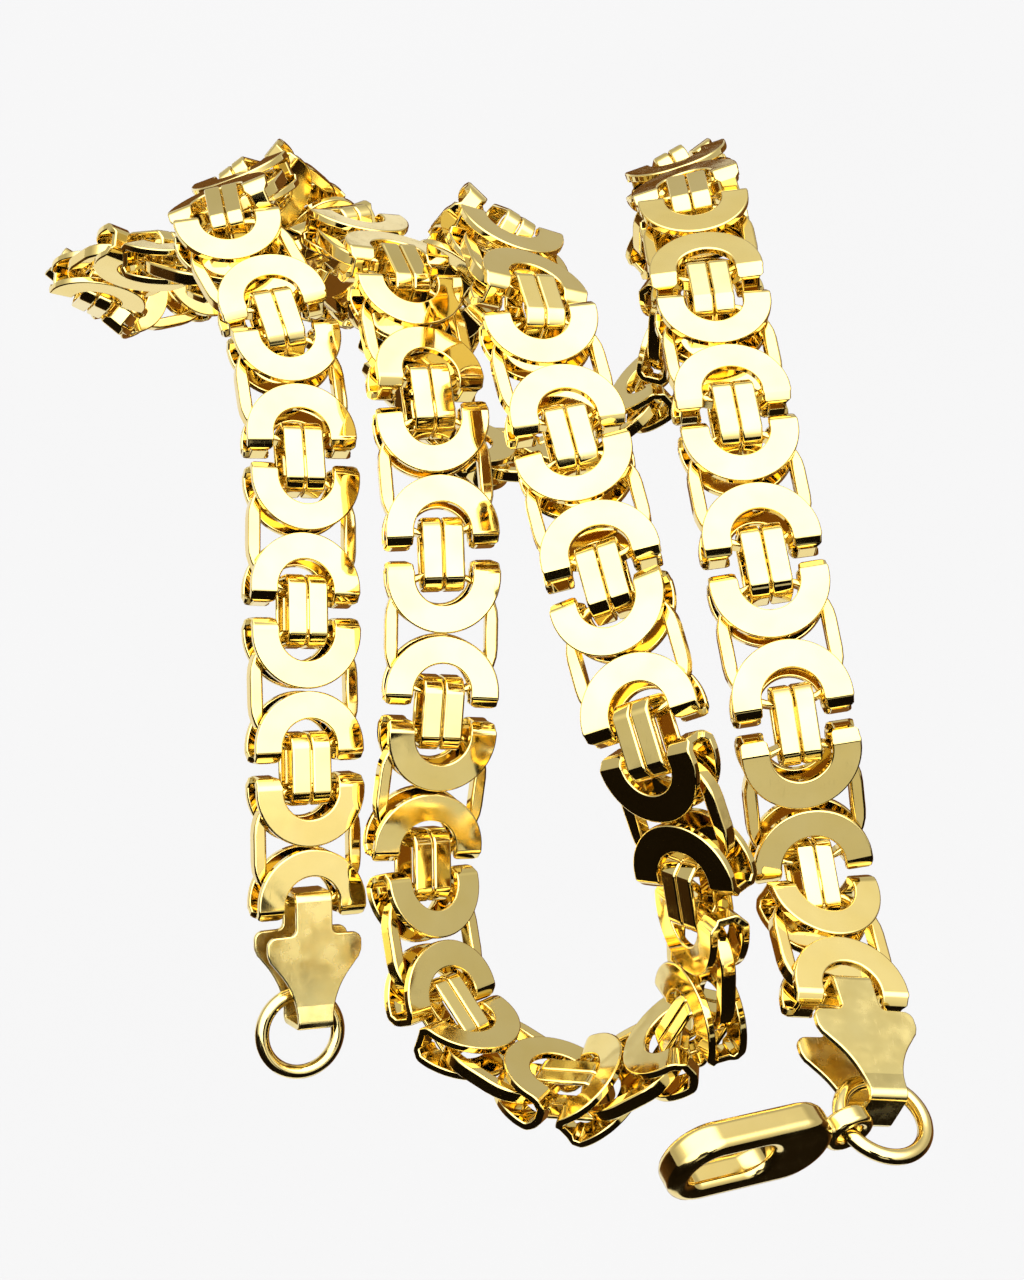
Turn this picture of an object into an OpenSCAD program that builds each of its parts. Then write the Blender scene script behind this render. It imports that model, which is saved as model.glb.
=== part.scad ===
// Flat byzantine chain, draped in four columns with both ends free.
// Folded horseshoe links face each other in pairs over flat oval links,
// twin upright bars hook the ovals together, and a folded cap with a round
// ring closes each end. The right ring carries a lobster clasp.
// Units are millimetres, Z is up and the origin is the seat that carries the drape.

/* [Chain] */
// width of the chain across its face
chain_w = 11; // [8:0.1:14]
// thickness of the chain over its two plates
chain_t = 4; // [3.4:0.1:5]
// distance between two neighbouring units
pitch = 15.2; // [15:0.1:16]

/* [Fold links] */
// thickness of the folded plate
plate_t = 0.8; // [0.6:0.05:1]
// width of the hole between the two arms
hole_w = 6; // [5.8:0.1:6.4]
// gap between the folds of two links that face each other
fold_gap = 1.2; // [1:0.1:1.6]
// radius of the fold's outside, seen from the side
fold_r = 1.9; // [1.2:0.1:1.9]
// radius of the corners at the arms' ends
arm_r = 0.5; // [0.2:0.1:0.8]
// gap between two links that stand back to back
back_gap = 0.2; // [0.1:0.05:0.5]

/* [Oval links] */
// height of the flat oval link's wire
oval_t = 1.5; // [1.2:0.1:1.6]
// width of the oval link's long rails
rail_w = 1.3; // [1:0.1:1.6]
// width of the bar across each end of the oval link
end_bar_w = 0.6; // [0.5:0.05:0.8]
// radius of the oval link's outer corners
oval_r = 4.5; // [3.5:0.1:5]
// gap between an oval link's end and the fold round it
end_play = 0.3; // [0.15:0.05:0.5]

/* [Bar links] */
// width of one upright bar link
bar_w = 1.65; // [1.4:0.05:1.8]
// gap between the two bars of a pair
bar_gap = 0.12; // [0.1:0.01:0.4]
// length of a bar link
bar_l = 7.2; // [7:0.1:7.4]
// thickness of the bar link's wire
bar_wall = 0.5; // [0.4:0.05:0.7]
// how far a bar stands proud of the plates
bar_proud = 0.35; // [0.1:0.05:0.6]

/* [End caps and rings] */
// length of a cap from its unit's centre to the neck's end
cap_l = 10; // [9:0.1:12]
// width of the cap's neck
neck_w = 3.6; // [3:0.1:4.4]
// width of the cap's tab, inside the last link's hole
tab_w = 3.7; // [3.4:0.1:4.2]
// length of the cap's tab, from its unit's centre
tab_l = 3.5; // [3.3:0.1:4]
// width of the cap's shoulders
shoulder_w = 9.6; // [8:0.1:11]
// radius of the hollow taper from the shoulders to the neck
taper_r = 8; // [6:0.5:10]
// thickness of the caps' plate
cap_wall = 0.6; // [0.5:0.05:0.8]
// angle that the right cap turns up from the last segment
cap_turn = 5; // [0:1:54]
// diameter of an end ring across its outside
ring_d = 9.2; // [8:0.1:11]
// thickness of the end rings' wire
ring_wire = 1.4; // [1.2:0.05:1.8]

/* [Clasp] */
// length of the lobster clasp's body
clasp_l = 16; // [12:0.5:20]
// width of the lobster clasp's body
clasp_w = 8; // [6:0.5:10]
// thickness of the lobster clasp's body
clasp_t = 3; // [2.4:0.1:4]
// angle round the ring at which the clasp hangs
clasp_turn = -75; // [-90:5:90]

/* [Hidden] */
$fn = 48;
half = 0.5;
steps = 12;
arm_w = (chain_w - hole_w) / 2;
arc_y = pitch / 2 - back_gap / 2 - chain_w / 2;
fold_y = fold_gap / 2;
inner_t = chain_t - 2 * plate_t;
oval_l = pitch - 2 * (fold_y + plate_t + end_play);
bar_h = chain_t + 2 * bar_proud;
bar_r = 0.9;
lift = 1.4;
side = 3;
turn_share = 0.73;
end_bar_y = fold_y + plate_t + end_play + end_bar_w / 2;
ring_r = (ring_d - ring_wire) / 2;
ring_y = cap_l + 0.6;
ring_side = 0.9;

// The chain's course: a row for each chosen point with its place and the way that
// the chain's face looks there.
//   x, y, z, face x, face y, face z
ROUTE = [
    [-20, -47.5, -42.5, 0.4, -0.8, 0.5],
    [-20.5, -27.5, -20.5, 0.4, -0.6, 0.8],
    [-23, -1, -5.5, 0.2, -0.3, 0.9],
    [-30, 12.5, -2, -0.2, 0.2, 1],
    [-27.5, 28, -9, -0.5, 0.7, 0.4],
    [-20, 33.5, -22.5, -0.8, 0.6, 0],
    [-16, 41, -34, -0.9, 0.2, 0.3],
    [-22.5, 51.5, -40, -0.6, -0.5, 0.6],
    [-37, 54.5, -41.5, 0.2, -0.8, 0.6],
    [-49, 45.5, -38, 0.7, -0.1, 0.6],
    [-48.5, 34.5, -29, 0.4, 0.8, 0.5],
    [-40.5, 28.5, -18.5, 0, 0.7, 0.7],
    [-28.5, 18.5, -15, -0.3, 0.4, 0.9],
    [-17, 14.5, -4.5, 0.1, 0.5, 0.8],
    [-11, 1.5, -1, 0.4, 0.1, 0.9],
    [-8, -13.5, -5.5, 0.2, -0.4, 0.9],
    [-7, -35, -26, 0.2, -0.8, 0.6],
    [-9, -43.5, -38, 0.5, -0.6, 0.6],
    [-6.5, -55.5, -47.5, 0.6, 0.1, 0.8],
    [5.5, -64.5, -48, -0.1, 0.4, 0.8],
    [17.5, -64, -38, -0.9, 0, 0.5],
    [17, -59, -23.5, -0.8, -0.6, 0.2],
    [12.5, -52, -12, -0.5, -0.6, 0.6],
    [5.5, -24.5, -1, 0, -0.3, 1],
    [2, -10, 4, 0.2, -0.1, 1],
    [-1, 4.5, 2.5, 0.5, 0.5, 0.7],
    [-5.5, 13, -10, 0.6, 0.9, 0],
    [-12, 12.5, -23.5, 0.7, 0.7, 0.1],
    [-7, 16, -37.5, 0.6, 0.4, 0.7],
    [6.5, 21, -42, -0.2, 0.1, 1],
    [18, 24, -32.5, -0.9, 0.2, 0.4],
    [18, 26.5, -17.5, -0.7, 0.7, 0.1],
    [17.5, 22, -3, -0.4, 0.7, 0.6],
    [18, 8, 3, -0.2, 0.2, 1],
    [19, -7, 3, 0, -0.1, 1],
    [23, -36, -5.5, 0, -0.4, 0.9],
    [25.5, -49, -13, 0, -0.8, 0.7],
    [27.5, -55.5, -26.5, 0.1, -0.7, 0.7],
    [30, -72, -28, 0.6, -0.1, 0.9]
];

// the place and the face direction in a row of the course
function place(row) = [row[0], row[1], row[2]];
function face(row) = [row[3], row[4], row[5]];
function unit(v) = v / norm(v);

// slope of the course at a chosen point, weighted by the spans on both sides
function span(i) = norm(place(ROUTE[i + 1]) - place(ROUTE[i]));
function slope(i) =
    i == 0 ? (ROUTE[1] - ROUTE[0]) / span(0) :
    i == len(ROUTE) - 1 ? (ROUTE[i] - ROUTE[i - 1]) / span(i - 1) :
    ((ROUTE[i] - ROUTE[i - 1]) / span(i - 1) * span(i)
        + (ROUTE[i + 1] - ROUTE[i]) / span(i) * span(i - 1)) / (span(i - 1) + span(i));

// a smooth cubic through the chosen points
function cubic(i, s) =
    ROUTE[i] * (1 - s) ^ 2 * (1 + 2 * s) + slope(i) * span(i) * s * (1 - s) ^ 2
        + ROUTE[i + 1] * s ^ 2 * (3 - 2 * s) - slope(i + 1) * span(i) * s ^ 2 * (1 - s);
COURSE = concat(
    [for (i = [0 : len(ROUTE) - 2]) for (k = [0 : steps - 1]) cubic(i, k / steps)],
    [ROUTE[len(ROUTE) - 1]]);

// first point of the course, from j on, that is a pitch or more away from a joint
function reach(joint, j) =
    j >= len(COURSE) ? j :
    norm(place(COURSE[j]) - place(joint)) >= pitch ? j : reach(joint, j + 1);

// the point between two rows that is exactly a pitch away from the joint
function cut(joint, a, b) =
    let (u = place(b) - place(a), v = place(a) - place(joint))
    let (p = u * u, q = 2 * u * v, r = v * v - pitch ^ 2)
    a + (b - a) * (-q + sqrt(q ^ 2 - 4 * p * r)) / (2 * p);

// all joints of the chain, a pitch apart along the course
function walk(joints, i) =
    let (j = reach(joints[len(joints) - 1], i))
    j >= len(COURSE) ? joints :
    walk(concat(joints, [cut(joints[len(joints) - 1], COURSE[j - 1], COURSE[j])]), j);
JOINTS = walk([COURSE[0]], 1);
LAST = len(JOINTS) - 1;
MIDDLE = floor(LAST / 2);

// a frame is its width, length and face directions
function frame(along, facing) =
    let (t = unit(along), n = unit(facing - (facing * t) * t))
    [cross(t, n), t, n];
FRAMES = [for (i = [0 : LAST - 1])
    frame(place(JOINTS[i + 1]) - place(JOINTS[i]), face(JOINTS[i]) + face(JOINTS[i + 1]))];
function between(i) = frame(FRAMES[i - 1][1] + FRAMES[i][1], FRAMES[i - 1][2] + FRAMES[i][2]);

// how far a joint's bars are pushed off its centre, by half of its bend
function push(i) =
    let (bend = (FRAMES[i][1] - FRAMES[i - 1][1]) / 2)
    [side * (bend * between(i)[0]), 0, lift * (bend * between(i)[2])];

// the share that a fold link takes of the turn between its segment and the joint's mean frame
function shared_turn(f, mean) = turn_share * atan2(-(mean[1] * f[0]), mean[1] * f[1]);

// stands a piece in a frame with its origin at a point
module stand(point, f)
    multmatrix([
        [f[0][0], f[1][0], f[2][0], point[0]],
        [f[0][1], f[1][1], f[2][1], point[1]],
        [f[0][2], f[1][2], f[2][2], point[2]],
        [0, 0, 0, 1]
    ])
        children();

// a flat shape in the length and height plane, drawn out across the width
module across(w)
    rotate([90, 0, 90])
        linear_extrude(height = w, center = true)
            children();

// a rectangle with round corners, centred
module round_box(x, y, r) {
    for (k = [-1, 1]) {
        translate([k * (x / 2 - r), y / 2 - r])
            circle(r);
        translate([k * (x / 2 - r), r - y / 2])
            circle(r);
    }
    square([x - 2 * r, y], center = true);
    square([x, y - 2 * r], center = true);
}

// outline of a fold link's plate, with its arms towards the unit's centre
module fold_plan() {
    translate([0, arc_y])
        difference() {
            circle(chain_w / 2);
            circle(hole_w / 2);
            translate([-chain_w, -chain_w])
                square([2 * chain_w, chain_w]);
        }
    for (k = [-1, 1])
        translate([k * (hole_w + arm_w) / 2, (fold_y + arc_y + 1) / 2])
            round_box(arm_w, arc_y + 1 - fold_y, arm_r);
}

// a hairpin seen from the side: round outside at its fold, open at its back
module hairpin(from, to)
    difference() {
        union() {
            translate([from + fold_r, fold_r - chain_t / 2])
                circle(fold_r);
            translate([from + fold_r, chain_t / 2 - fold_r])
                circle(fold_r);
            translate([from, fold_r - chain_t / 2])
                square([fold_r, chain_t - 2 * fold_r]);
            translate([from + fold_r, -chain_t / 2])
                square([to - from - fold_r, chain_t]);
        }
        translate([from + plate_t, -inner_t / 2])
            square([to - from, inner_t]);
    }

// a folded horseshoe link, its back towards +Y
module fold_link()
    intersection() {
        translate([0, 0, -chain_t / 2])
            linear_extrude(height = chain_t)
                fold_plan();
        across(chain_w + 1)
            hairpin(fold_y, pitch / 2);
    }

// a fold link that is turned a little about its arc, to share the joint's turn
module turned_fold_link(turn)
    translate([0, arc_y, 0])
        rotate([0, 0, turn])
            translate([0, -arc_y, 0])
                fold_link();

// a flat oval link along Y, centred
module oval_link()
    translate([0, 0, -oval_t / 2])
        linear_extrude(height = oval_t)
            difference() {
                rotate(90)
                    round_box(oval_l, chain_w, oval_r);
                rotate(90)
                    round_box(oval_l - 2 * end_bar_w, chain_w - 2 * rail_w, oval_r - rail_w);
            }

// one upright bar link, a closed loop in the length and height plane
module bar_link()
    across(bar_w)
        difference() {
            round_box(bar_l, bar_h, bar_r);
            square([bar_l - 2 * bar_wall, bar_h - 2 * bar_wall], center = true);
        }

// outline of an end cap: tab, shoulders and a hollow taper to the neck, towards +Y
module cap_plan() {
    shoulder_y = 0.6;
    fillet_r = 0.6;
    taper_y = cap_l - 0.7;
    translate([-tab_w / 2, -tab_l])
        square([tab_w, tab_l + shoulder_y + half]);
    translate([-neck_w / 2, shoulder_y])
        square([neck_w, cap_l - shoulder_y]);
    difference() {
        translate([-shoulder_w / 2, shoulder_y])
            square([shoulder_w, taper_y - shoulder_y]);
        for (k = [-1, 1])
            translate([k * (neck_w / 2 + taper_r), taper_y])
                circle(taper_r);
    }
    difference() {
        translate([-tab_w / 2 - fillet_r, shoulder_y - fillet_r])
            square([tab_w + 2 * fillet_r, 2 * fillet_r]);
        for (k = [-1, 1])
            translate([k * (tab_w / 2 + fillet_r), shoulder_y - fillet_r])
                circle(fillet_r);
    }
}

// an end cap: two plates joined by a fold at the tab and one at the neck
module end_cap() {
    wall_l = cap_l + tab_l;
    color("gold")
        intersection() {
            translate([0, 0, -bar_h / 2])
                linear_extrude(height = bar_h)
                    cap_plan();
            translate([0, wall_l / 2 - tab_l, 0])
                across(chain_w + 1)
                    difference() {
                        round_box(wall_l, bar_h, bar_r);
                        square([wall_l - 2 * cap_wall, bar_h - 2 * cap_wall], center = true);
                    }
        }
}

// a round ring in the XY plane, its centre ring_r from the point where it is held
module ring(r, wire)
    rotate_extrude()
        translate([r, 0])
            circle(wire / 2);

// a lobster clasp in the XY plane, its eye's centre at the origin, towards +Y
module lobster() {
    eye_d = 4.6;
    eye_hole = 2.4;
    body_y = eye_d / 2 + clasp_l / 2;
    linear_extrude(height = clasp_t * 0.6, center = true)
        difference() {
            union() {
                circle(eye_d / 2);
                translate([-eye_d / 4, 0])
                    square([eye_d / 2, eye_d]);
            }
            circle(eye_hole / 2);
        }
    linear_extrude(height = clasp_t, center = true)
        translate([0, body_y])
            difference() {
                rotate(90)
                    round_box(clasp_l, clasp_w, clasp_w / 2 - 0.1);
                translate([0, clasp_l / 8])
                    rotate(90)
                        round_box(clasp_l / 2, clasp_w / 2, clasp_w / 4 - 0.1);
            }
}

// a stretch of the chain from one joint to another, every link loose
module chain(first, last) {
    for (i = [first : last - 1]) {
        f = FRAMES[i];
        head = i == 0 ? f : between(i);
        tail = i == LAST - 1 ? f : between(i + 1);
        stand(place(JOINTS[i]), f)
            turned_fold_link(shared_turn(f, head));
        stand((place(JOINTS[i]) + place(JOINTS[i + 1])) / 2, f)
            oval_link();
        stand(place(JOINTS[i + 1]), f)
            rotate([0, 0, 180])
                turned_fold_link(shared_turn(f, tail));
    }
    for (i = [max(first, 1) : min(last, LAST) - 1])
        for (k = [-1, 1])
            stand(place(JOINTS[i]), between(i))
                translate(push(i) + [k * (bar_w + bar_gap) / 2, 0, 0])
                    bar_link();
}

// a cap's frame, turned towards its face from the way out of the chain
function cap_frame(out, facing, turn) =
    frame(out * cos(turn) + facing * sin(turn), facing * cos(turn) - out * sin(turn));
LEFT_CAP = cap_frame(-FRAMES[0][1], FRAMES[0][2], 0);
RIGHT_CAP = cap_frame(FRAMES[LAST - 1][1], FRAMES[LAST - 1][2], cap_turn);

// a cap turns about the oval link's end bar, which its tab holds
module stand_cap(joint, out, f)
    stand(place(joint) - out * end_bar_y + f[1] * (end_bar_y + 0.2), f)
        children();
module stand_left()
    stand_cap(JOINTS[0], -FRAMES[0][1], LEFT_CAP)
        children();
module stand_right()
    stand_cap(JOINTS[LAST], FRAMES[LAST - 1][1], RIGHT_CAP)
        children();

module chain_left()
    color("gold")
        chain(0, MIDDLE);
module chain_right()
    color("gold")
        chain(MIDDLE, LAST);
module end_cap_left()
    stand_left()
        end_cap();
module end_cap_right()
    stand_right()
        end_cap();
module end_ring_left()
    color("gold")
        stand_left()
            translate([ring_side, ring_y, 0])
                ring(ring_r, ring_wire);
module end_ring_right()
    color("gold")
        stand_right()
            translate([0, ring_y, 0])
                ring(ring_r, ring_wire);
module clasp()
    color("gold")
        stand_right()
            translate([0, ring_y, 0])
                rotate([0, 0, clasp_turn])
                    translate([0, ring_r, 0])
                        rotate([0, 90, 0])
                            lobster();

chain_left();
chain_right();
end_cap_left();
end_cap_right();
end_ring_left();
end_ring_right();
clasp();
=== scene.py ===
import math

import bpy
import numpy as np
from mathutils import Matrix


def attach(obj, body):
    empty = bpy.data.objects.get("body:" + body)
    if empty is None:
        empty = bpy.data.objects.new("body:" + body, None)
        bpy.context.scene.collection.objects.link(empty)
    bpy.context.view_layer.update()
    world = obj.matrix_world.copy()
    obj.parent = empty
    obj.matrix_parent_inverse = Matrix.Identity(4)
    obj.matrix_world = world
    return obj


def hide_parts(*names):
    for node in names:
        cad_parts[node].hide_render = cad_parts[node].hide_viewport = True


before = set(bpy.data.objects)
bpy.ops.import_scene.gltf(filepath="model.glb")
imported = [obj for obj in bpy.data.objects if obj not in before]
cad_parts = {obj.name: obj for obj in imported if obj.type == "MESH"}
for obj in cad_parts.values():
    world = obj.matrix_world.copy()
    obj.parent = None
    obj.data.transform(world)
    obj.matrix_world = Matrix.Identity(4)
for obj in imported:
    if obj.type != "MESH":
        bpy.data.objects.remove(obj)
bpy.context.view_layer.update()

# Sizes of the pieces, as in the part's source.
MM = 0.001
CHAIN_W, CHAIN_T, PITCH = 11 * MM, 4 * MM, 15.2 * MM
PLATE_T, HOLE_W, FOLD_GAP, FOLD_R = 0.8 * MM, 6 * MM, 1.2 * MM, 1.9 * MM
ARM_R, BACK_GAP = 0.5 * MM, 0.2 * MM
OVAL_T, RAIL_W, END_BAR_W, OVAL_R, END_PLAY = 1.5 * MM, 1.3 * MM, 0.6 * MM, 4.5 * MM, 0.3 * MM
BAR_W, BAR_GAP, BAR_L, BAR_WALL = 1.65 * MM, 0.12 * MM, 7.2 * MM, 0.5 * MM
BAR_PROUD, BAR_R = 0.35 * MM, 0.9 * MM
CAP_L, NECK_W, TAB_W, TAB_L, CAP_WALL = 10 * MM, 3.6 * MM, 3.7 * MM, 3.5 * MM, 0.6 * MM
SHOULDER_Y, SHOULDER_W, TAPER_R, FILLET_R = 0.6 * MM, 9.6 * MM, 8 * MM, 0.6 * MM
CAP_TURN, CAP_PLAY = 5, 0.2 * MM
RING_D, RING_WIRE = 9.2 * MM, 1.4 * MM
CLASP_L, CLASP_W, CLASP_T, CLASP_TURN = 16 * MM, 8 * MM, 3 * MM, -75
EYE_D, EYE_HOLE, EYE_HALF_T = 4.6 * MM, 2.4 * MM, CLASP_T * 0.3
# the neck between the clasp's eye and its body, and the core that it is carried round
EYE_NECK_Y, EYE_NECK_HALF_L, EYE_NECK_HALF_T = EYE_D * 0.65, EYE_D * 0.3, CLASP_T * 0.28
EYE_NECK_R, CORE_HALF, CORE_R = 0.5 * MM, 0.3 * MM, 0.2 * MM
# how far a joint's bend pushes its bars up and aside, the share of the bend that a fold link
# turns by, and the points for each span of the course
LIFT, SIDE, TURN_SHARE, STEPS = 1.4 * MM, 3 * MM, 0.73, 12
ARM_W = (CHAIN_W - HOLE_W) / 2
ARC_Y = PITCH / 2 - BACK_GAP / 2 - CHAIN_W / 2
FOLD_Y = FOLD_GAP / 2
OVAL_L = PITCH - 2 * (FOLD_Y + PLATE_T + END_PLAY)
BAR_H = CHAIN_T + 2 * BAR_PROUD
END_BAR_Y = FOLD_Y + PLATE_T + END_PLAY + END_BAR_W / 2
RING_R = (RING_D - RING_WIRE) / 2
RING_Y = CAP_L + 0.6 * MM
TAPER_Y = CAP_L - 0.7 * MM
LEFT_RING_X = 0.9 * MM

# Radii of the rounded edges.
PLATE_EDGE, OVAL_EDGE, BAR_EDGE, CAP_EDGE = 0.18 * MM, 0.28 * MM, 0.24 * MM, 0.16 * MM
BODY_EDGE, EYE_EDGE, EYE_NECK_EDGE = 0.9 * MM, 0.45 * MM, 0.1 * MM

# How the links look where their joint hardly bends: a flat bevel between two rounds at a
# fold and at a bar's corner, arms and bars a little wider, bars a little shorter. Between the
# two bends (degrees) they turn into the plain form.
CRISP_BEND, ROUND_BEND = 40, 75
BEVEL_R, BEVEL, WIDE_ARM = 0.75 * MM, 0.65 * MM, 2.7 * MM
EASY_BEND, STIFF_BEND = 22, 45
BAR_BEVEL_R, BAR_BEVEL, WIDE_BAR, SHORT_BAR = 0.95 * MM, 0.75 * MM, 1.95 * MM, 7.1 * MM

# The cap's rounded shoulder corners, and the crease across its neck with the slope past it.
STEP, SHOULDER_ROUND, TAPER_START, FOLD_CLEAR = 0.04 * MM, 0.9 * MM, 1.2 * MM, 0.8 * MM
CREASE_Y, NECK_SLOPE = CAP_L - 2.4 * MM, -0.1

# The chain's course: place of each chosen point, and the way that the face looks there.
ROUTE = np.array([
    (-0.020, -0.0475, -0.0425, 0.4, -0.8, 0.5),
    (-0.0205, -0.0275, -0.0205, 0.4, -0.6, 0.8),
    (-0.023, -0.001, -0.0055, 0.2, -0.3, 0.9),
    (-0.030, 0.0125, -0.002, -0.2, 0.2, 1),
    (-0.0275, 0.028, -0.009, -0.5, 0.7, 0.4),
    (-0.020, 0.0335, -0.0225, -0.8, 0.6, 0),
    (-0.016, 0.041, -0.034, -0.9, 0.2, 0.3),
    (-0.0225, 0.0515, -0.040, -0.6, -0.5, 0.6),
    (-0.037, 0.0545, -0.0415, 0.2, -0.8, 0.6),
    (-0.049, 0.0455, -0.038, 0.7, -0.1, 0.6),
    (-0.0485, 0.0345, -0.029, 0.4, 0.8, 0.5),
    (-0.0405, 0.0285, -0.0185, 0, 0.7, 0.7),
    (-0.0285, 0.0185, -0.015, -0.3, 0.4, 0.9),
    (-0.017, 0.0145, -0.0045, 0.1, 0.5, 0.8),
    (-0.011, 0.0015, -0.001, 0.4, 0.1, 0.9),
    (-0.008, -0.0135, -0.0055, 0.2, -0.4, 0.9),
    (-0.007, -0.035, -0.026, 0.2, -0.8, 0.6),
    (-0.009, -0.0435, -0.038, 0.5, -0.6, 0.6),
    (-0.0065, -0.0555, -0.0475, 0.6, 0.1, 0.8),
    (0.0055, -0.0645, -0.048, -0.1, 0.4, 0.8),
    (0.0175, -0.064, -0.038, -0.9, 0, 0.5),
    (0.017, -0.059, -0.0235, -0.8, -0.6, 0.2),
    (0.0125, -0.052, -0.012, -0.5, -0.6, 0.6),
    (0.0055, -0.0245, -0.001, 0, -0.3, 1),
    (0.002, -0.010, 0.004, 0.2, -0.1, 1),
    (-0.001, 0.0045, 0.0025, 0.5, 0.5, 0.7),
    (-0.0055, 0.013, -0.010, 0.6, 0.9, 0),
    (-0.012, 0.0125, -0.0235, 0.7, 0.7, 0.1),
    (-0.007, 0.016, -0.0375, 0.6, 0.4, 0.7),
    (0.0065, 0.021, -0.042, -0.2, 0.1, 1),
    (0.018, 0.024, -0.0325, -0.9, 0.2, 0.4),
    (0.018, 0.0265, -0.0175, -0.7, 0.7, 0.1),
    (0.0175, 0.022, -0.003, -0.4, 0.7, 0.6),
    (0.018, 0.008, 0.003, -0.2, 0.2, 1),
    (0.019, -0.007, 0.003, 0, -0.1, 1),
    (0.023, -0.036, -0.0055, 0, -0.4, 0.9),
    (0.0255, -0.049, -0.013, 0, -0.8, 0.7),
    (0.0275, -0.0555, -0.0265, 0.1, -0.7, 0.7),
    (0.030, -0.072, -0.028, 0.6, -0.1, 0.9),
])


def unit(v):
    """Each vector divided by its own length."""
    return v / np.linalg.norm(v, axis=-1, keepdims=True)


# The course

def smooth_course(rows):
    """A cubic through the rows, whose slope at a row is the mean of its two spans' slopes,
    each weighted by the other span's length; STEPS points a span."""
    spans = np.linalg.norm(np.diff(rows[:, :3], axis=0), axis=1)[:, None]
    chords = np.diff(rows, axis=0) / spans
    inner = (chords[:-1] * spans[1:] + chords[1:] * spans[:-1]) / (spans[:-1] + spans[1:])
    slopes = np.vstack([chords[:1], inner, chords[-1:]])
    s = (np.arange(STEPS) / STEPS)[None, :, None]
    a, b = rows[:-1, None], rows[1:, None]
    leave, reach = slopes[:-1, None] * spans[:, None], slopes[1:, None] * spans[:, None]
    curve = (a * (1 - s) ** 2 * (1 + 2 * s) + leave * s * (1 - s) ** 2
             + b * s ** 2 * (3 - 2 * s) - reach * s ** 2 * (1 - s))
    return np.vstack([curve.reshape(-1, rows.shape[1]), rows[-1:]])


def joints_along(course):
    """Points of the course that are a pitch apart in a straight line: each is the place where
    the course leaves a ball of that radius round the one before."""
    joints, j = [course[0]], 1
    while True:
        far = np.linalg.norm(course[j:, :3] - joints[-1][:3], axis=1) >= PITCH
        if not far.any():
            return np.array(joints)
        j += int(np.argmax(far))
        a, b = course[j - 1], course[j]
        u, v = (b - a)[:3], (a - joints[-1])[:3]
        p, q, r = u @ u, 2 * u @ v, v @ v - PITCH ** 2
        joints.append(a + (b - a) * (-q + math.sqrt(q * q - 4 * p * r)) / (2 * p))


def frames_of(along, facing):
    """Width, length and face directions as a matrix's columns: length is the way along, face
    is square to it, and width is length cross face."""
    t = unit(along)
    n = unit(facing - np.sum(facing * t, axis=-1, keepdims=True) * t)
    return np.stack([np.cross(t, n), t, n], axis=-1)


def turn_about_z(degrees):
    """Matrices that turn by each angle about Z."""
    a = np.radians(np.atleast_1d(degrees))
    c, s, o = np.cos(a), np.sin(a), np.zeros(len(a))
    rows = np.stack([c, -s, o], -1), np.stack([s, c, o], -1), np.stack([o, o, o + 1], -1)
    return np.stack(rows, -2)


JOINTS = joints_along(smooth_course(ROUTE))
PLACES, FACES = JOINTS[:, :3], JOINTS[:, 3:]
SEGMENTS = len(JOINTS) - 1
MIDDLE = SEGMENTS // 2
FRAMES = frames_of(np.diff(PLACES, axis=0), FACES[:-1] + FACES[1:])
BETWEEN = frames_of(FRAMES[:-1, :, 1] + FRAMES[1:, :, 1], FRAMES[:-1, :, 2] + FRAMES[1:, :, 2])


# Bands, the one form that all links share

def band(middle, half_width, half_depth, edge, rims=None, corner=2):
    """A closed band: at each station of a closed path stands a rectangle with round corners of
    radius edge. Its point is middle + width + depth, drawn back along the rim's own direction
    by edge times one minus the cosine of the corner's angle, and its normal is the rim times
    that cosine plus depth times the sine. rims gives the two rims' directions, or they follow
    from how fast the width grows along the path."""
    w, h = np.linalg.norm(half_width, axis=1)[:, None], np.linalg.norm(half_depth, axis=1)[:, None]
    across, out = half_width / w, half_depth / h
    if rims is None:
        ahead = np.roll(middle, -1, 0) - np.roll(middle, 1, 0)
        grow = (np.roll(w, -1, 0) - np.roll(w, 1, 0)) / np.linalg.norm(ahead, axis=1)[:, None]
        ahead = unit(ahead)
        rims = unit(across - ahead * grow), unit(-across - ahead * grow)
    quarter = np.linspace(0, math.pi / 2, corner + 1)
    angle = np.concatenate([quarter + k * math.pi / 2 for k in range(4)])
    right = np.repeat([1, 0, 0, 1], corner + 1).astype(bool)[None, :, None]
    up = np.repeat([1, 1, -1, -1], corner + 1)[None, :, None]
    c, s = np.abs(np.cos(angle))[None, :, None], np.sin(angle)[None, :, None]
    rim = np.where(right, rims[0][:, None], rims[1][:, None])
    side = np.where(right, 1, -1) * (across * w)[:, None]
    rise = out[:, None] * (up * (h[:, None] - edge) + edge * s)
    points = middle[:, None] + side + rim * edge * (c - 1) + rise
    return points, rim * c + out[:, None] * s


def grid_faces(rows, columns):
    """Four-cornered faces of a grid that closes on itself both ways."""
    i, j = np.meshgrid(np.arange(rows), np.arange(columns), indexing="ij")
    here, ahead = i * columns, (i + 1) % rows * columns
    beside = (j + 1) % columns
    return np.stack([here + j, ahead + j, ahead + beside, here + beside], -1).reshape(-1, 4)


def shape_of(points, normals):
    """One closed surface (points, normals, faces) whose faces look outward: where the volume,
    a sixth of the sum of the faces' corner products, is negative, the faces are turned."""
    faces = grid_faces(*points.shape[:2])
    p = points.reshape(-1, 3)
    a, b, c, d = (p[faces[:, k]] for k in range(4))
    volume = np.sum(np.cross(a, b) * c) + np.sum(np.cross(a, c) * d)
    return p, normals.reshape(-1, 3), faces if volume > 0 else faces[:, ::-1]


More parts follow.
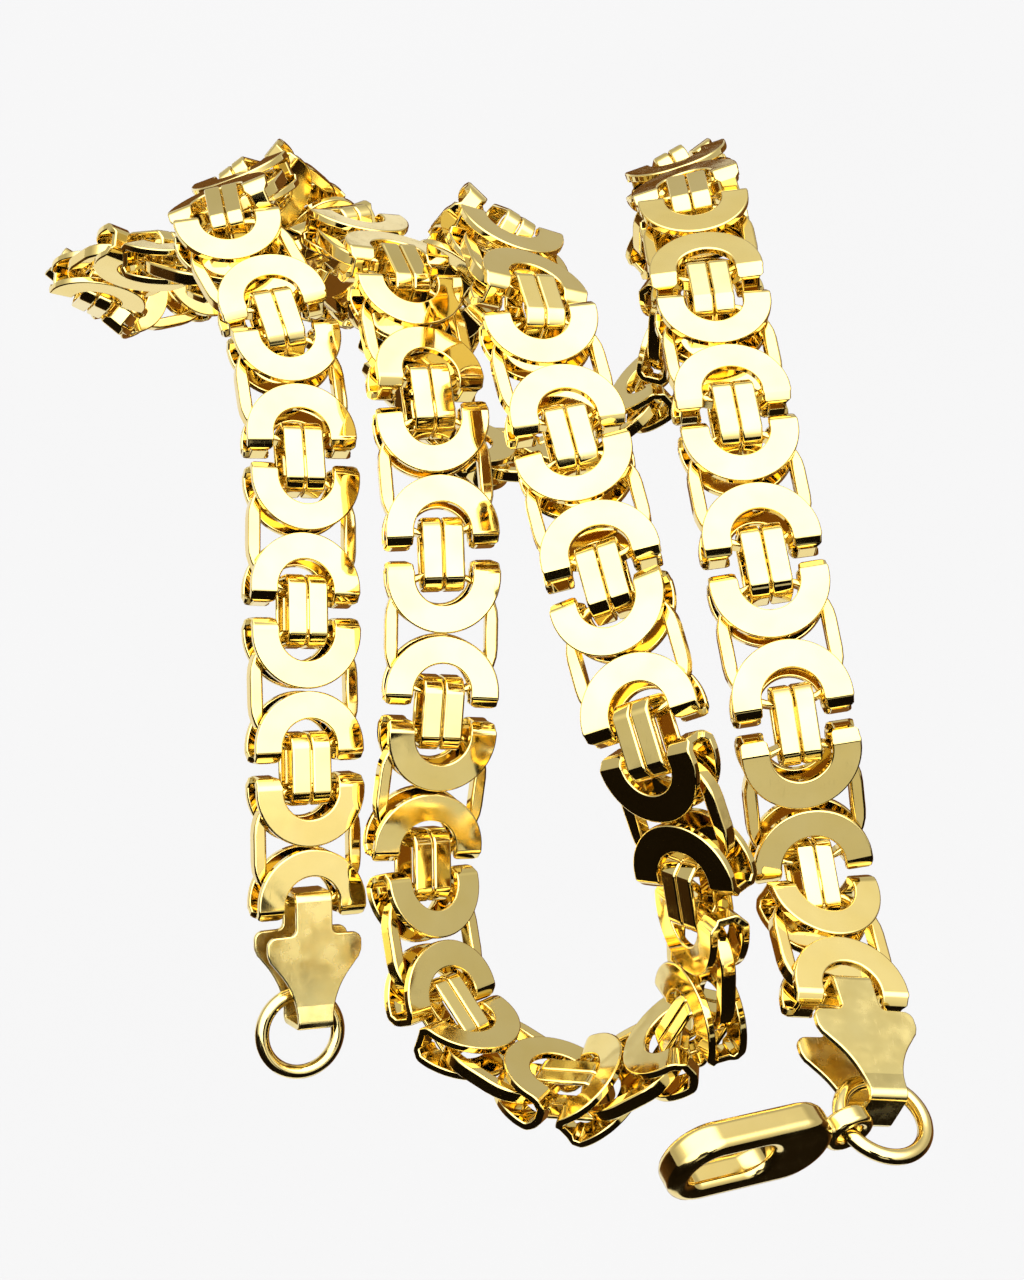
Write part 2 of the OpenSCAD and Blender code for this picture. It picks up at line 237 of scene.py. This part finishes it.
def copies(shape, places, turns):
    """The shape at every place, turned by the matrix of that place."""
    p, n, f = shape
    points = places[:, None] + np.einsum("kij,vj->kvi", turns, p)
    normals = np.einsum("kij,vj->kvi", turns, n)
    faces = f[None] + (np.arange(len(places)) * len(p))[:, None, None]
    return points.reshape(-1, 3), normals.reshape(-1, 3), faces.reshape(-1, 4)


def joined(*shapes):
    """Several shapes as one."""
    starts = np.cumsum([0] + [len(s[0]) for s in shapes[:-1]])
    return (np.concatenate([s[0] for s in shapes]), np.concatenate([s[1] for s in shapes]),
            np.concatenate([s[2] + k for s, k in zip(shapes, starts)]))


def piece(name, shape, material, *nodes):
    """A mesh object of the shape, riding on the root and standing for the named nodes."""
    points, normals, faces = shape
    mesh = bpy.data.meshes.new(name)
    mesh.vertices.add(len(points))
    mesh.vertices.foreach_set("co", points.astype(np.float32).ravel())
    mesh.loops.add(faces.size)
    mesh.loops.foreach_set("vertex_index", faces.astype(np.int32).ravel())
    mesh.polygons.add(len(faces))
    mesh.polygons.foreach_set("loop_start", np.arange(0, faces.size, 4, dtype=np.int32))
    mesh.polygons.foreach_set("loop_total", np.full(len(faces), 4, dtype=np.int32))
    mesh.update(calc_edges=True)
    mesh.polygons.foreach_set("use_smooth", np.ones(len(faces), dtype=bool))
    mesh.normals_split_custom_set_from_vertices(unit(normals).astype(np.float32))
    mesh.materials.append(material)
    made = bpy.data.objects.new(name, mesh)
    bpy.context.scene.collection.objects.link(made)
    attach(made, "root")
    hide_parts(*nodes)
    return made


# The links

# stations round a fold link's arc and the clasp's eye, and at each corner of the other pieces
ARC_STATIONS, EYE_STATIONS = 35, 32
OVAL_STEPS, BAR_STEPS, CAP_STEPS, BODY_STEPS, EYE_NECK_STEPS = 9, 8, 7, 10, 5
# points along the end cap's fillet, its shoulders' round corner and its taper
FILLET_POINTS, ROUND_POINTS, TAPER_POINTS = 6, 9, 24
# spans of a rounded edge, on the clasp's thick rims
CLASP_CORNER = 4


def flat(v):
    """Points or ways of the plane of width and length, in space."""
    return np.column_stack([v, np.zeros(len(v))])


def upright(v):
    """Points or ways of the plane of length and height, in space."""
    return np.column_stack([np.zeros(len(v)), v])


def fold_link(arm_w, fold_r, bevel):
    """A horseshoe of flat strip, folded over at both arms' ends. The strip's middle runs up one
    fold, round the back arc of the upper plate, down the other fold and back round the lower
    plate. A fold is an eighth of a circle, a straight bevel and another eighth, and the strip
    narrows towards it by a power of the lean's sine."""
    radius = CHAIN_W / 2 - arm_w / 2
    # how far the strip leans at each station of a fold, with the bevel from 47 to 43 degrees
    bend = np.radians([90, 76, 62, 47, 43, 28, 14, 0])
    step = np.where(bend < math.pi / 4, bevel * math.sqrt(0.5), 0)
    y = FOLD_Y + fold_r + step - (fold_r - PLATE_T / 2) * np.sin(bend)
    z = CHAIN_T / 2 - fold_r - step[-1] + step + (fold_r - PLATE_T / 2) * np.cos(bend)
    start = np.arcsin(np.clip((y - ARC_Y) / radius, 0, 1))
    arc = np.linspace(start[-1], math.pi - start[-1], ARC_STATIONS)[1:-1]
    theta = np.concatenate([start, arc, math.pi - start[::-1]])
    lean = np.concatenate([bend, 0 * arc, bend[::-1]])
    y = np.concatenate([y, ARC_Y + radius * np.sin(arc), y[::-1]])
    z = np.concatenate([z, np.full(len(arc), CHAIN_T / 2 - PLATE_T / 2), z[::-1]])
    half = arm_w / 2 - ARM_R * np.sin(lean) ** 6
    upper = np.stack([radius * np.cos(theta), y, z], -1)
    wide = np.stack([np.cos(theta), np.sin(theta), 0 * theta], -1) * half[:, None]
    out = np.stack([0 * lean, -np.sin(lean), np.cos(lean)], -1) * PLATE_T / 2
    flip = np.array([1, 1, -1])
    stations = [np.concatenate([v, v[::-1] * flip]) for v in (upper, wide, out)]
    rims = unit(stations[1]), -unit(stations[1])
    return shape_of(*band(*stations, edge=PLATE_EDGE, rims=rims))


def between_copies(first, second, share, places, turns):
    """Copies whose points and normals lie between those of two shapes, by each copy's share of
    the second."""
    part = share[:, None, None]
    points = first[0][None] * (1 - part) + second[0][None] * part
    normals = first[1][None] * (1 - part) + second[1][None] * part
    points = places[:, None] + np.einsum("kij,kvj->kvi", turns, points)
    normals = np.einsum("kij,kvj->kvi", turns, normals)
    faces = first[2][None] + (np.arange(len(places)) * len(first[0]))[:, None, None]
    return points.reshape(-1, 3), normals.reshape(-1, 3), faces.reshape(-1, 4)


def fold_links(places, turns, bends):
    """Fold links at all the places: crisp where the joint hardly bends, and the rounder, the
    more it bends, so that two folds stay clear of each other."""
    share = np.clip((bends - CRISP_BEND) / (ROUND_BEND - CRISP_BEND), 0, 1)
    return between_copies(fold_link(WIDE_ARM, BEVEL_R, BEVEL), fold_link(ARM_W, FOLD_R, 0),
                          share, places, turns)


def corner_walk(half_x, half_y, radius, steps, bevel=0):
    """Corner angles of a rectangle with round corners, and the corners' points, once round. A
    corner is an eighth of a circle, a straight bevel and another eighth."""
    angle = np.concatenate([np.linspace(0, math.pi / 2, steps) + k * math.pi / 2 for k in range(4)])
    sx = np.repeat([1, -1, -1, 1], steps)
    sy = np.repeat([1, 1, -1, -1], steps)
    way = np.stack([np.cos(angle), np.sin(angle)], -1)
    flat_x = np.abs(way[:, 0]) > np.abs(way[:, 1])
    size = radius + bevel * math.sqrt(0.5)
    centre_x = half_x - np.where(flat_x, radius, size)
    centre_y = half_y - np.where(flat_x, size, radius)
    return way, np.stack([sx * centre_x, sy * centre_y], -1) + way * radius


def flat_ring(outer, inner, way, half_depth, edge, corner=2):
    """A band between two outlines of the plane of width and length, which share their ways out:
    its middle and its half width are half the outlines' sum and half their difference."""
    depth = np.tile([0, 0, half_depth], (len(way), 1))
    rims = flat(way), -flat(way)
    return band(flat((outer + inner) / 2), flat((outer - inner) / 2), depth, edge, rims, corner)


def oval_link():
    """A flat ring between two rectangles with round corners, which share their corners' angles."""
    way, outer = corner_walk(CHAIN_W / 2, OVAL_L / 2, OVAL_R, OVAL_STEPS)
    half_x, half_y = CHAIN_W / 2 - RAIL_W, OVAL_L / 2 - END_BAR_W
    _, inner = corner_walk(half_x, half_y, OVAL_R - RAIL_W, OVAL_STEPS)
    return shape_of(*flat_ring(outer, inner, way, OVAL_T / 2, OVAL_EDGE))


def bar_link(width, long, corner_r, bevel, side):
    """A strip of the bar's width carried round a rectangle with bevelled corners, which stands
    in the length and height plane, on its own side of the joint's middle."""
    way, path = corner_walk(long / 2 - BAR_WALL / 2, BAR_H / 2 - BAR_WALL / 2,
                            corner_r - BAR_WALL / 2, BAR_STEPS, bevel)
    middle = upright(path) + [side * (width + BAR_GAP) / 2, 0, 0]
    wide = np.tile([width / 2, 0, 0], (len(way), 1))
    rims = unit(wide), -unit(wide)
    return shape_of(*band(middle, wide, upright(way) * BAR_WALL / 2, BAR_EDGE, rims))


def bar_links(places, turns, bends):
    """Both bar links of every joint: wide and bevelled where it hardly bends, and narrower and
    rounder where it bends much."""
    share = np.clip((bends - EASY_BEND) / (STIFF_BEND - EASY_BEND), 0, 1)
    pairs = [between_copies(bar_link(WIDE_BAR, SHORT_BAR, BAR_BEVEL_R, BAR_BEVEL, k),
                            bar_link(BAR_W, BAR_L, BAR_R, BAR_BEVEL / 2, k), share, places, turns)
             for k in (-1, 1)]
    return joined(*pairs)


def cap_half_width(y):
    """Half the cap's width at each place along it: the tab, a hollow fillet to the shoulders'
    edge, the shoulders with a round corner, and a hollow arc that runs into the neck. A hollow
    of radius r and distance d takes r less the root of r squared minus d squared, and a bell
    curve rounds the point where shoulder and arc meet."""
    hollow = lambda r, d: r - np.sqrt(np.clip(r ** 2 - d ** 2, 0, None))
    tab = TAB_W / 2 + hollow(FILLET_R, np.clip(y - SHOULDER_Y + FILLET_R, 0, FILLET_R))
    taper = NECK_W / 2 + hollow(TAPER_R, np.clip(TAPER_Y - y, 0, TAPER_R))
    to_corner = np.clip(SHOULDER_Y + STEP + SHOULDER_ROUND - y, 0, SHOULDER_ROUND)
    shoulder = SHOULDER_W / 2 - hollow(SHOULDER_ROUND, to_corner)
    sharp = np.minimum(shoulder, taper)
    apart = (shoulder - taper) / (SHOULDER_ROUND / 1.5)
    smooth = sharp - SHOULDER_ROUND / 4 * np.exp(-apart ** 2)
    return np.where(y <= SHOULDER_Y, tab, smooth)


def end_cap():
    """A wide strip folded round at the neck and at the tab: it is carried round a long rectangle
    with round corners in the length and height plane, and its width follows the cap's outline.
    Past a crease near the neck both plates slope a little apart."""
    long, half_z = CAP_L + TAB_L, BAR_H / 2 - CAP_WALL / 2
    fillet_turn = np.linspace(0, math.pi / 2, FILLET_POINTS)
    round_turn = np.linspace(0, math.pi / 2, ROUND_POINTS)
    fillet_y = SHOULDER_Y - FILLET_R * (1 - np.sin(fillet_turn))
    round_y = SHOULDER_Y + STEP + SHOULDER_ROUND * (1 - np.cos(round_turn))
    taper_y = np.linspace(SHOULDER_Y + TAPER_START, TAPER_Y, TAPER_POINTS)
    crease_y = [CREASE_Y - STEP, CREASE_Y + STEP]
    run = np.sort(np.concatenate([[-TAB_L + BAR_R], fillet_y, round_y, taper_y, crease_y]))
    way, path = corner_walk(long / 2 - CAP_WALL / 2, half_z, BAR_R - CAP_WALL / 2, CAP_STEPS)
    path = path + [(CAP_L - TAB_L) / 2, 0]
    run = run[(run > path[:, 0].min() + FOLD_CLEAR) & (run < CAP_L - BAR_R)]
    # the flat stretches go in after the walk's first corner (top) and its third (bottom)
    top, bottom = CAP_STEPS, 3 * CAP_STEPS
    up, down = np.tile([0.0, 1.0], (len(run), 1)), np.tile([0.0, -1.0], (len(run), 1))
    over = np.column_stack([run[::-1], np.full(len(run), half_z)])
    under = np.column_stack([run, np.full(len(run), -half_z)])
    ways = np.concatenate([way[:top], up, way[top:bottom], down, way[bottom:]])
    places = np.concatenate([path[:top], over, path[top:bottom], under, path[bottom:]])
    past = np.clip(places[:, 0] - CREASE_Y, 0, None)
    places[:, 1] *= 1 - NECK_SLOPE * past / half_z
    ways[:, 0] += NECK_SLOPE * np.abs(ways[:, 1]) * (past > 0)
    ways = unit(ways)
    half = cap_half_width(places[:, 0])
    wide = np.column_stack([half, 0 * half, 0 * half])
    return shape_of(*band(upright(places), wide, upright(ways) * CAP_WALL / 2, CAP_EDGE))


def round_ring(radius, wire, around=96, section=20):
    """A circle of wire: (radius + wire cos v) along the circle's way out, and wire sin v up."""
    u = np.linspace(0, 2 * math.pi, around, endpoint=False)[:, None]
    v = np.linspace(0, 2 * math.pi, section, endpoint=False)[None]
    normal = np.stack([np.cos(u) * np.cos(v), np.sin(u) * np.cos(v), np.sin(v) + 0 * u], -1)
    centre = np.stack([radius * np.cos(u) + 0 * v, radius * np.sin(u) + 0 * v, 0 * u * v], -1)
    return shape_of(centre + normal * wire, normal)


def lobster():
    """A plain lobster clasp: a thick band between the body's outline and its opening, a round
    eye, and a short rounded neck between them."""
    slack = 0.1 * MM
    body_y = EYE_D / 2 + CLASP_L / 2
    way, outer = corner_walk(CLASP_W / 2, CLASP_L / 2, CLASP_W / 2 - slack, BODY_STEPS)
    _, inner = corner_walk(CLASP_W / 4, CLASP_L / 4, CLASP_W / 4 - slack, BODY_STEPS)
    outer = outer + [0, body_y]
    inner = inner + [0, body_y + CLASP_L / 8]
    body = flat_ring(outer, inner, way, CLASP_T / 2, BODY_EDGE, CLASP_CORNER)

    turn = np.linspace(0, 2 * math.pi, EYE_STATIONS, endpoint=False)
    way = np.column_stack([np.cos(turn), np.sin(turn)])
    rims = way * EYE_D / 2, way * EYE_HOLE / 2
    eye = flat_ring(*rims, way, EYE_HALF_T, EYE_EDGE, CLASP_CORNER)

    # the neck's section stands in width and height, and its depth runs from the eye to the body
    way, outer = corner_walk(EYE_D / 4, EYE_NECK_HALF_T, EYE_NECK_R, EYE_NECK_STEPS)
    _, inner = corner_walk(CORE_HALF, CORE_HALF, CORE_R, EYE_NECK_STEPS)
    across = lambda v: np.column_stack([v[:, 0], 0 * v[:, 0], v[:, 1]])
    depth = np.tile([0, EYE_NECK_HALF_L, 0], (len(way), 1))
    middle = across((outer + inner) / 2) + [0, EYE_NECK_Y, 0]
    rims = across(way), -across(way)
    neck = band(middle, across((outer - inner) / 2), depth, EYE_NECK_EDGE, rims)
    return joined(shape_of(*body), shape_of(*eye), shape_of(*neck))


# Where the links stand

def shared_turns(frames, means):
    """Degrees that a fold link turns about its arc, a share of its joint's bend."""
    side = -np.einsum("ki,ki->k", means[:, :, 1], frames[:, :, 0])
    ahead = np.einsum("ki,ki->k", means[:, :, 1], frames[:, :, 1])
    return TURN_SHARE * np.degrees(np.arctan2(side, ahead))


def fold_stands():
    """Places and turns of the fold links, two for each segment: one at its head and one at its
    tail, each turned about its own arc's centre."""
    head_mean = np.concatenate([FRAMES[:1], BETWEEN])
    tail_mean = np.concatenate([BETWEEN, FRAMES[-1:]])
    arc = np.array([0, ARC_Y, 0])
    stands = []
    for ends, mean, half_turn in ((PLACES[:-1], head_mean, 0), (PLACES[1:], tail_mean, 180)):
        base = FRAMES @ turn_about_z(half_turn)
        own = turn_about_z(shared_turns(FRAMES, mean))
        stands.append((ends + np.einsum("kij,kj->ki", base, arc - own @ arc), base @ own))
    return stands


def bar_stands():
    """Places of the bar links' middles, one for each inner joint, pushed off its centre by half
    of the joint's bend."""
    bend = (FRAMES[1:, :, 1] - FRAMES[:-1, :, 1]) / 2
    push_x = SIDE * np.einsum("ki,ki->k", bend, BETWEEN[:, :, 0])
    push_z = LIFT * np.einsum("ki,ki->k", bend, BETWEEN[:, :, 2])
    shift = np.column_stack([push_x, 0 * push_x, push_z])
    return PLACES[1:-1] + np.einsum("kij,kj->ki", BETWEEN, shift)


def cap_stand(place, out, facing, turn):
    """A cap's frame, turned towards its face about the end bar that its tab holds."""
    a = math.radians(turn)
    own = frames_of((out * math.cos(a) + facing * math.sin(a))[None],
                    (facing * math.cos(a) - out * math.sin(a))[None])[0]
    return place - out * END_BAR_Y + own[:, 1] * (END_BAR_Y + CAP_PLAY), own


def stood(shape, place, own, shift=(0, 0, 0), turn=None):
    """A shape moved and turned inside a frame."""
    inner = np.eye(3) if turn is None else turn
    return copies(shape, (place + own @ np.array(shift))[None], (own @ inner)[None])


# Finishes

# inputs and output of a Mix node that mixes colours
SHARE, FIRST, SECOND, MIXED = 0, 6, 7, 2
# scale and detail of the noises in the gold, and the wave's distortion
TINT_NOISE, LINE_NOISE, SMUDGE_NOISE, WAVE_NOISE = (220, 2), (6000, 3), (450, 4), (260, 1, 0.4)
# how dense the scratches' noise is along each axis, and how it is turned
LINE_DENSITY, LINE_TURN = (1, 0.12, 0.12), (0.3, 0.2, 0.5)
# least and greatest roughness of the smudges as shares of the finish's own, and how deep a
# scratch of strength one is in metres
SMUDGE_LEAST, SMUDGE_MOST, SCRATCH_DEPTH = 0.6, 1.7, 4e-6


def new_material(name):
    """A material, its nodes, its links and its shader."""
    material = bpy.data.materials.new(name)
    material.use_nodes = True
    nodes = material.node_tree.nodes
    return material, nodes, material.node_tree.links, nodes["Principled BSDF"]


def colour_mix(nodes, first, second):
    """A node that goes from one colour to another with its share."""
    node = nodes.new("ShaderNodeMix")
    node.data_type = "RGBA"
    node.inputs[FIRST].default_value = (*first, 1)
    node.inputs[SECOND].default_value = (*second, 1)
    return node


def gold(name, colour, deep, roughness, scratch, wave):
    """Polished gold plate: the colour wanders softly between two golds, long fine scratches and
    small smudges change the roughness, and a low wave and the scratches lift the surface."""
    material, nodes, links, shader = new_material(name)
    shader.inputs["Metallic"].default_value = 1.0
    where = nodes.new("ShaderNodeTexCoord")

    def noise(scale, detail, distortion=0.0, vector=where.outputs["Object"]):
        node = nodes.new("ShaderNodeTexNoise")
        node.inputs["Scale"].default_value = scale
        node.inputs["Detail"].default_value = detail
        node.inputs["Distortion"].default_value = distortion
        links.new(vector, node.inputs["Vector"])
        return node.outputs["Fac"]

    def ramp(source, low, high, dark, light):
        node = nodes.new("ShaderNodeMapRange")
        values = (("From Min", low), ("From Max", high), ("To Min", dark), ("To Max", light))
        for key, value in values:
            node.inputs[key].default_value = value
        links.new(source, node.inputs["Value"])
        return node.outputs["Result"]

    def bump(source, distance):
        node = nodes.new("ShaderNodeBump")
        node.inputs["Strength"].default_value = 1.0
        node.inputs["Distance"].default_value = distance
        links.new(source, node.inputs["Height"])
        return node

    tint = colour_mix(nodes, colour, deep)
    links.new(ramp(noise(*TINT_NOISE), 0.35, 0.7, 0, 1), tint.inputs[SHARE])
    links.new(tint.outputs[MIXED], shader.inputs["Base Color"])

    stretch = nodes.new("ShaderNodeMapping")
    stretch.inputs["Scale"].default_value = LINE_DENSITY
    stretch.inputs["Rotation"].default_value = LINE_TURN
    links.new(where.outputs["Object"], stretch.inputs["Vector"])
    lines = noise(*LINE_NOISE, vector=stretch.outputs["Vector"])
    marks = ramp(lines, 0.62, 0.8, 0, scratch)
    least, most = roughness * SMUDGE_LEAST, roughness * SMUDGE_MOST
    smudge = ramp(noise(*SMUDGE_NOISE), 0.4, 0.75, least, most)
    both = nodes.new("ShaderNodeMath")
    both.operation = "ADD"
    links.new(marks, both.inputs[0])
    links.new(smudge, both.inputs[1])
    links.new(both.outputs["Value"], shader.inputs["Roughness"])

    swell = bump(noise(*WAVE_NOISE), wave)
    grain = bump(marks, scratch * SCRATCH_DEPTH)
    links.new(swell.outputs["Normal"], grain.inputs["Normal"])
    links.new(grain.outputs["Normal"], shader.inputs["Normal"])
    return material


def matt_paint(name, scale, dark, light):
    """Matt paint with a faint cloud between two tones in it: the material, and the nodes that
    give its coordinates and its tone."""
    material, nodes, links, shader = new_material(name)
    shader.inputs["Roughness"].default_value = 1.0
    shader.inputs["Specular IOR Level"].default_value = 0.0
    where = nodes.new("ShaderNodeTexCoord")
    cloud = nodes.new("ShaderNodeTexNoise")
    cloud.inputs["Scale"].default_value = scale
    links.new(where.outputs["Object"], cloud.inputs["Vector"])
    tone = colour_mix(nodes, dark, light)
    links.new(cloud.outputs["Fac"], tone.inputs[SHARE])
    links.new(tone.outputs[MIXED], shader.inputs["Base Color"])
    return material, where, tone


def card_paint():
    """Matt black with a faint cloud in its tone, warm brown at the back."""
    black, soft_black, brown = (0.003, 0.002, 0.001), (0.01, 0.007, 0.004), (0.1, 0.045, 0.012)
    material, where, tone = matt_paint("card_paint", 4, black, soft_black)
    nodes, links = material.node_tree.nodes, material.node_tree.links
    split = nodes.new("ShaderNodeSeparateXYZ")
    links.new(where.outputs["Object"], split.inputs["Vector"])
    back = nodes.new("ShaderNodeMapRange")
    back.inputs["From Min"].default_value = -0.12
    back.inputs["From Max"].default_value = 0.12
    links.new(split.outputs["Y"], back.inputs["Value"])
    both = colour_mix(nodes, black, brown)
    links.new(back.outputs["Result"], both.inputs[SHARE])
    links.new(tone.outputs[MIXED], both.inputs[FIRST])
    links.new(both.outputs[MIXED], nodes["Principled BSDF"].inputs["Base Color"])
    return material


def floor_paint():
    """Pale matt paint with a faint cloud in its tone."""
    return matt_paint("floor_paint", 3, (0.425, 0.425, 0.43), (0.435, 0.435, 0.44))[0]


# name, two golds, roughness, depth of the scratches and height of the wave in metres
PLATE_GOLD = gold("plate_gold", (0.95, 0.765, 0.3), (0.92, 0.72, 0.25), 0.06, 0.1, 1.4e-5)
OVAL_GOLD = gold("oval_gold", (0.93, 0.73, 0.27), (0.9, 0.68, 0.22), 0.08, 0.12, 1.2e-5)
BAR_GOLD = gold("bar_gold", (0.95, 0.77, 0.31), (0.92, 0.73, 0.26), 0.06, 0.1, 9e-6)
CAP_GOLD = gold("cap_gold", (0.93, 0.77, 0.32), (0.9, 0.72, 0.27), 0.24, 0.14, 4e-6)
RING_GOLD = gold("ring_gold", (0.94, 0.76, 0.32), (0.91, 0.71, 0.27), 0.1, 0.12, 8e-6)
CLASP_GOLD = gold("clasp_gold", (0.93, 0.74, 0.29), (0.9, 0.69, 0.24), 0.12, 0.14, 1e-5)

# The pieces

(HEADS, HEAD_TURNS), (TAILS, TAIL_TURNS) = fold_stands()
BARS = bar_stands()
BENDS = np.degrees(np.arccos(np.clip(np.sum(FRAMES[1:, :, 1] * FRAMES[:-1, :, 1], axis=1), -1, 1)))
HEAD_BENDS, TAIL_BENDS = np.append(0, BENDS), np.append(BENDS, 0)
MIDS = (PLACES[:-1] + PLACES[1:]) / 2
for side, start, stop in (("left", 0, MIDDLE), ("right", MIDDLE, SEGMENTS)):
    node = "chain_" + side
    run = slice(start, stop)
    folds = joined(fold_links(HEADS[run], HEAD_TURNS[run], HEAD_BENDS[run]),
                   fold_links(TAILS[run], TAIL_TURNS[run], TAIL_BENDS[run]))
    piece("fold_links_" + side, folds, PLATE_GOLD, node)
    piece("oval_links_" + side, copies(oval_link(), MIDS[run], FRAMES[run]), OVAL_GOLD, node)
    inner = slice(max(start, 1) - 1, stop - 1)
    bars = bar_links(BARS[inner], BETWEEN[inner], BENDS[inner])
    piece("bar_links_" + side, bars, BAR_GOLD, node)

LEFT = cap_stand(PLACES[0], -FRAMES[0, :, 1], FRAMES[0, :, 2], 0)
RIGHT = cap_stand(PLACES[-1], FRAMES[-1, :, 1], FRAMES[-1, :, 2], CAP_TURN)
for side, stand, ring_x in (("left", LEFT, LEFT_RING_X), ("right", RIGHT, 0)):
    piece("cap_plate_" + side, stood(end_cap(), *stand), CAP_GOLD, "end_cap_" + side)
    ring = stood(round_ring(RING_R, RING_WIRE / 2), *stand, shift=(ring_x, RING_Y, 0))
    piece("ring_wire_" + side, ring, RING_GOLD, "end_ring_" + side)
TURN = turn_about_z(CLASP_TURN)[0]
ON_EDGE = np.array([[0, 0, 1], [0, 1, 0], [-1, 0, 0]])
HOLD = np.array([0, RING_Y, 0]) + TURN @ np.array([0, RING_R, 0])
piece("clasp_body", stood(lobster(), *RIGHT, shift=HOLD, turn=TURN @ ON_EDGE), CLASP_GOLD, "clasp")

# Floor, light and camera

FLOOR_Z, FLOOR_HALF = -0.5, 4
BOWL_RADIUS, BOWL_START, BOWL_STOP = 0.45, -105, 200
BOWL_COLUMNS, BOWL_ROWS = 245, 17
# height of the bowl's lower edge in degrees, at the back and in front
BOWL_LOW_BACK, BOWL_LOW_FRONT = -85, -60
# azimuth and height of the bowl's upper edge in degrees, with a notch in front
BOWL_EDGE = ((-105, -10), (-85, -2), (-60, 2), (-40, 14), (4, 14), (9, -3), (21, -3), (24, 13),
             (28, 13), (32, 0), (90, -6), (200, -10))
# place of the front card, and its outline in width and height
FRONT_Y = -0.18
FRONT_OUTLINE = ((12, 0), (12, 62), (56, 62), (60, 30), (86, 30), (90, 46), (104, 28),
                 (104, 12), (88, 12), (84, 0))
# height of the way out less a share of its way back, from -1 to 1, and the light's tone there
SKY_TILT, SKY_STRENGTH = 0.25, 3.0
SKY = ((-1, (0.22, 0.21, 0.2)), (0.22, (0.17, 0.165, 0.155)), (0.38, (0.24, 0.235, 0.22)),
       (0.53, (0.36, 0.355, 0.34)), (0.64, (0.85, 0.85, 0.84)), (0.78, (1.0, 1.0, 1.0)))
CAMERA_PLACE, CAMERA_TILT, LENS, SENSOR = (0, -0.2218, 0.1708), 45, 78.975, 36


def stage_object(name, points, faces, paint):
    """A mesh object of the points and faces for the stage."""
    mesh = bpy.data.meshes.new(name)
    mesh.from_pydata(points, [], faces)
    mesh.materials.append(paint)
    made = bpy.data.objects.new(name, mesh)
    bpy.context.scene.collection.objects.link(made)
    return made


def reflections_only(made):
    """Hides an object from all but reflections."""
    made.visible_camera = False
    made.visible_diffuse = False
    made.visible_shadow = False


def dark_bowl():
    """Part of a ball round the chain, below the view, on a grid of azimuth, 0 being in front,
    and rise: its lower edge sinks to the back, by a cosine, and BOWL_EDGE gives the upper."""
    azimuth = np.linspace(BOWL_START, BOWL_STOP, BOWL_COLUMNS)
    turn = np.radians(azimuth)[:, None]
    low = BOWL_LOW_BACK + (BOWL_LOW_FRONT - BOWL_LOW_BACK) * (1 + np.cos(turn)) / 2
    high = np.interp(azimuth, *np.array(BOWL_EDGE).T)[:, None]
    rise = np.radians(low + (high - low) * np.linspace(0, 1, BOWL_ROWS)[None])
    way = [np.sin(turn) * np.cos(rise), -np.cos(turn) * np.cos(rise), np.sin(rise)]
    i, j = np.meshgrid(np.arange(BOWL_COLUMNS - 1) * BOWL_ROWS, np.arange(BOWL_ROWS - 1),
                       indexing="ij")
    first = (i + j).ravel()
    faces = np.stack([first, first + 1, first + BOWL_ROWS + 1, first + BOWL_ROWS], -1)
    return (np.stack(way, -1) * BOWL_RADIUS).reshape(-1, 3).tolist(), faces.tolist()


FLOOR_CORNERS = [(x * FLOOR_HALF, y * FLOOR_HALF, FLOOR_Z)
                 for x, y in ((-1, -1), (1, -1), (1, 1), (-1, 1))]
floor = stage_object("floor", FLOOR_CORNERS, [(0, 1, 2, 3)], floor_paint())

# A dark bowl low round the front, which only reflections see, gives the polish its dark bands.
CARD_PAINT = card_paint()
card = stage_object("dark_card", *dark_bowl(), CARD_PAINT)
reflections_only(card)

# A small upright card in front, seen by reflections only too, darkens the arms' folded ends.
FRONT_POINTS = [(x * MM, FRONT_Y, z * MM) for x, z in FRONT_OUTLINE]
front_card = stage_object("front_card", FRONT_POINTS, [tuple(range(len(FRONT_POINTS)))], CARD_PAINT)
reflections_only(front_card)

world = bpy.data.worlds.new("studio")
bpy.context.scene.world = world
world.use_nodes = True
nodes, links = world.node_tree.nodes, world.node_tree.links
way = nodes.new("ShaderNodeTexCoord")
split = nodes.new("ShaderNodeSeparateXYZ")
tilt = nodes.new("ShaderNodeMath")
tilt.operation = "MULTIPLY_ADD"
tilt.inputs[1].default_value = -SKY_TILT
height = nodes.new("ShaderNodeMapRange")
height.inputs["From Min"].default_value = -1
tone = nodes.new("ShaderNodeValToRGB")
ramp = tone.color_ramp.elements
ramp[0].position, ramp[0].color = (SKY[0][0] + 1) / 2, (*SKY[0][1], 1)
ramp[1].position, ramp[1].color = (SKY[-1][0] + 1) / 2, (*SKY[-1][1], 1)
for place, colour in SKY[1:-1]:
    ramp.new((place + 1) / 2).color = (*colour, 1)
links.new(way.outputs["Generated"], split.inputs["Vector"])
links.new(split.outputs["Y"], tilt.inputs[0])
links.new(split.outputs["Z"], tilt.inputs[2])
links.new(tilt.outputs["Value"], height.inputs["Value"])
links.new(height.outputs["Result"], tone.inputs["Fac"])
links.new(tone.outputs["Color"], nodes["Background"].inputs["Color"])
nodes["Background"].inputs["Strength"].default_value = SKY_STRENGTH

camera_data = bpy.data.cameras.new("camera")
camera_data.sensor_width = SENSOR
camera_data.lens = LENS
camera_data.clip_start = 0.01
camera_data.clip_end = 20
camera = bpy.data.objects.new("camera", camera_data)
camera.location = CAMERA_PLACE
camera.rotation_euler = (math.radians(CAMERA_TILT), 0, 0)
bpy.context.scene.collection.objects.link(camera)
bpy.context.scene.camera = camera
bpy.context.scene.view_settings.view_transform = "Standard"
